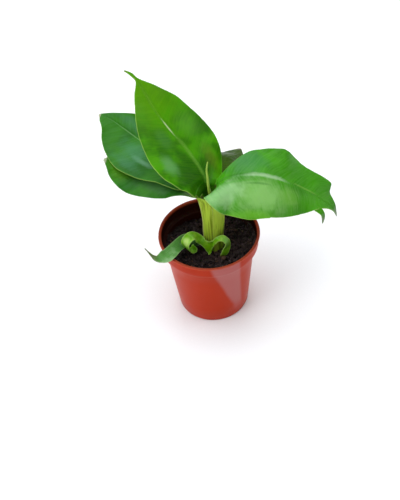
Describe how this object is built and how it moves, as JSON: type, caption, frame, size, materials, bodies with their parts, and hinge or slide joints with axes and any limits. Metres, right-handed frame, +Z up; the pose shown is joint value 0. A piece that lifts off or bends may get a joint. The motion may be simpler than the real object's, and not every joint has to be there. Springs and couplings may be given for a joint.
{
  "type": "dwarf banana plant in a small plastic pot",
  "caption": "Young dwarf banana plant with broad smooth leaves on a sheathed stem, growing in peat soil in a small tapered plastic nursery pot.",
  "frame": {"origin": "centre of the pot's flat base, on the surface that it stands on", "axes": "+Z up along the pot's axis, -Y towards the viewer of the picture, +X to the right"},
  "size_m": [0.1321, 0.0794, 0.1549],
  "materials": {
    "terracotta_plastic": "gloss",
    "peat_soil": "matte",
    "stem_skin": "satin",
    "leaf_green": "satin",
    "leaf_dark_green": "satin",
    "leaf_olive_green": "satin",
    "young_leaf": "satin",
    "old_sheath_skin": "satin",
    "old_leaf_grey_green": "matte"
  },
  "bodies": {
    "root": {"pot": "terracotta_plastic", "soil": "peat_soil", "pseudostem": "stem_skin", "leaf_tall": "leaf_green", "leaf_left_upper": "leaf_dark_green", "leaf_left_lower": "leaf_dark_green", "leaf_right": "leaf_green", "leaf_back": "leaf_olive_green", "new_leaf_spear": "young_leaf", "old_sheath": "old_sheath_skin", "old_leaf_left": "old_leaf_grey_green"}
  },
  "joints": []
}
